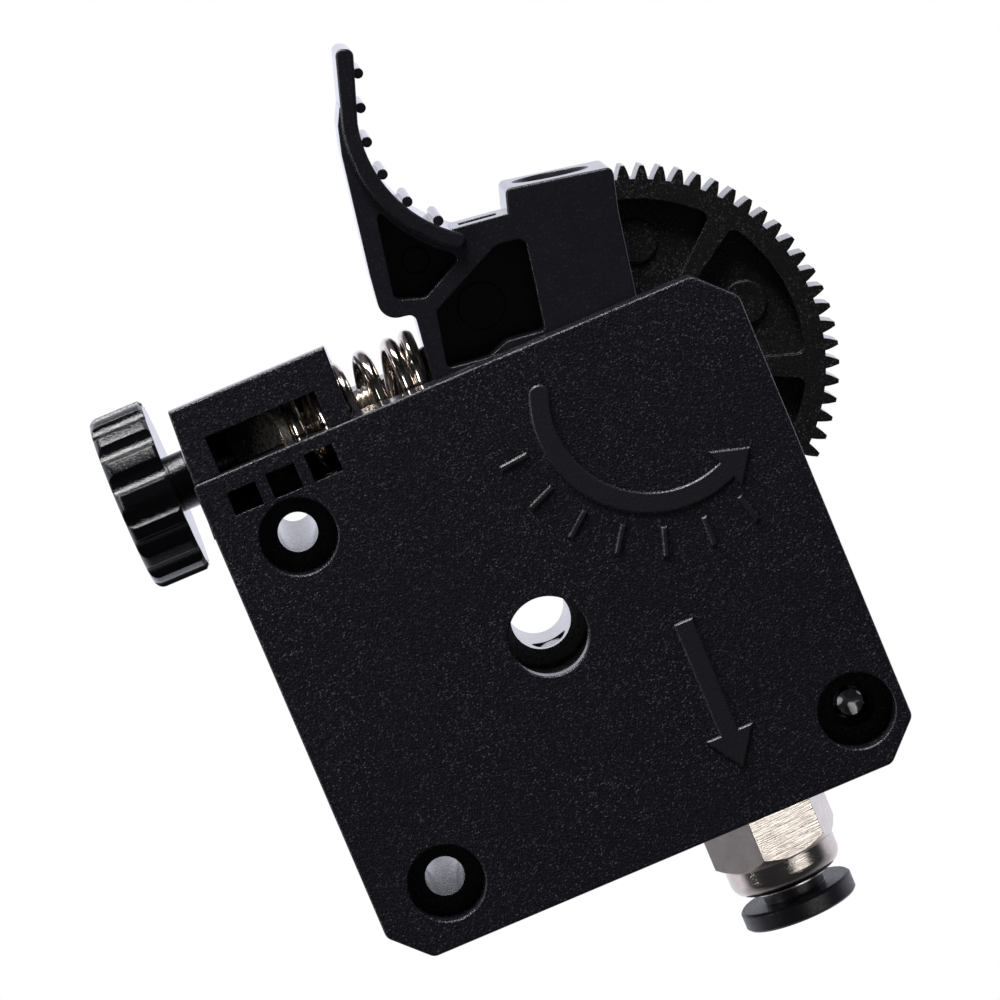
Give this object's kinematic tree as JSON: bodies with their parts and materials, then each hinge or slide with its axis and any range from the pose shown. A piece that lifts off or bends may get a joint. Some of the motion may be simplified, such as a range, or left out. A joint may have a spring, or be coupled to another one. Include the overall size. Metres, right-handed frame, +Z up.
{
  "type": "extruder gear assembly",
  "caption": "Geared filament extruder: a sprung lever presses filament on a hobbed shaft driven by a large moulded gear and steel pinion, in a square black housing with a push-fit outlet",
  "frame": {"origin": "where the motor axis meets the motor mounting face", "axes": "+X to the right and +Z up as seen from the front lid, +Y from the lid into the motor; filament leaves downwards, along -Z"},
  "size_m": [0.0607, 0.0237, 0.0813],
  "materials": {
    "grained_black_plastic": "fine spark-eroded grain, moulded black",
    "lever_black_plastic": "smooth semi-gloss moulded black",
    "gear_black_plastic": "moulded black with a fine speckle",
    "wheel_black_plastic": "glossy moulded black, scalloped",
    "guide_plastic": "black acetal",
    "collet_black_plastic": "satin moulded black",
    "nickel_plate": "nickel plate over turned brass",
    "ring_nickel": "bright nickel plate",
    "bearing_steel": "ground bearing steel",
    "shaft_steel": "turned steel",
    "pinion_steel": "cut steel gear",
    "spring_steel": "dark nickel-plated spring wire",
    "screw_steel": "nickel-plated screw and nut",
    "black_screw_steel": "black oxide steel",
    "seal_rubber": "black nitrile rubber"
  },
  "bodies": {
    "frame": {"housing": "grained_black_plastic", "front_lid": "grained_black_plastic", "lid_screw": "screw_steel", "filament_guide": "guide_plastic", "coupler_body": "nickel_plate", "coupler_ring": "ring_nickel", "coupler_seal": "seal_rubber", "coupler_jaws": "ring_nickel", "front_bearing_outer": "bearing_steel", "front_bearing_balls": "bearing_steel", "front_bearing_shields": "bearing_steel", "rear_bearing_outer": "bearing_steel", "rear_bearing_balls": "bearing_steel", "rear_bearing_shields": "bearing_steel", "tension_spring": "spring_steel"},
    "drive": {"drive_gear": "gear_black_plastic", "drive_shaft": "shaft_steel", "front_bearing_inner": "bearing_steel", "rear_bearing_inner": "bearing_steel"},
    "pinion": {"motor_pinion": "pinion_steel", "pinion_grub_screw": "black_screw_steel"},
    "lever": {"idler_lever": "lever_black_plastic", "idler_axle": "shaft_steel", "idler_bearing_inner": "bearing_steel", "idler_bearing_balls": "bearing_steel", "idler_bearing_shields": "bearing_steel"},
    "idler_wheel": {"idler_bearing_outer": "bearing_steel"},
    "tensioner": {"tension_wheel": "wheel_black_plastic", "tension_screw": "screw_steel"},
    "nut": {"tension_nut": "screw_steel"},
    "collet": {"coupler_collet": "collet_black_plastic"}
  },
  "joints": [
    {"name": "drive_spin", "type": "hinge", "parent": "frame", "child": "drive", "pos_m": [0.0156, -0.0075, 0.0156], "axis": [0, -1, 0], "continuous": true},
    {"name": "pinion_spin", "type": "hinge", "parent": "frame", "child": "pinion", "pos_m": [0, -0.0075, 0], "axis": [0, -1, 0], "continuous": true},
    {"name": "lever_swing", "type": "hinge", "parent": "frame", "child": "lever", "pos_m": [0, -0.0145, 0], "axis": [0, -1, 0], "range_deg": [0, 9], "deforming": ["tension_spring"]},
    {"name": "idler_spin", "type": "hinge", "parent": "lever", "child": "idler_wheel", "pos_m": [0.00655, -0.0145, 0.0156], "axis": [0, -1, 0], "continuous": true},
    {"name": "tension_turn", "type": "hinge", "parent": "frame", "child": "tensioner", "pos_m": [-0.0257, -0.0145, 0.0224], "axis": [-1, 0, 0], "range_deg": [-720, 1800]},
    {"name": "nut_slide", "type": "slide", "parent": "frame", "child": "nut", "axis": [1, 0, 0], "range_m": [-0.001, 0.0025], "deforming": ["tension_spring"]},
    {"name": "collet_press", "type": "slide", "parent": "frame", "child": "collet", "axis": [0, 0, 1], "range_m": [0, 0.00085]}
  ],
  "couplings": [
    {"joint": "pinion_spin", "follows": "drive_spin", "ratio": -3},
    {"joint": "tension_turn", "follows": "nut_slide", "rad_per_m": 12566}
  ]
}
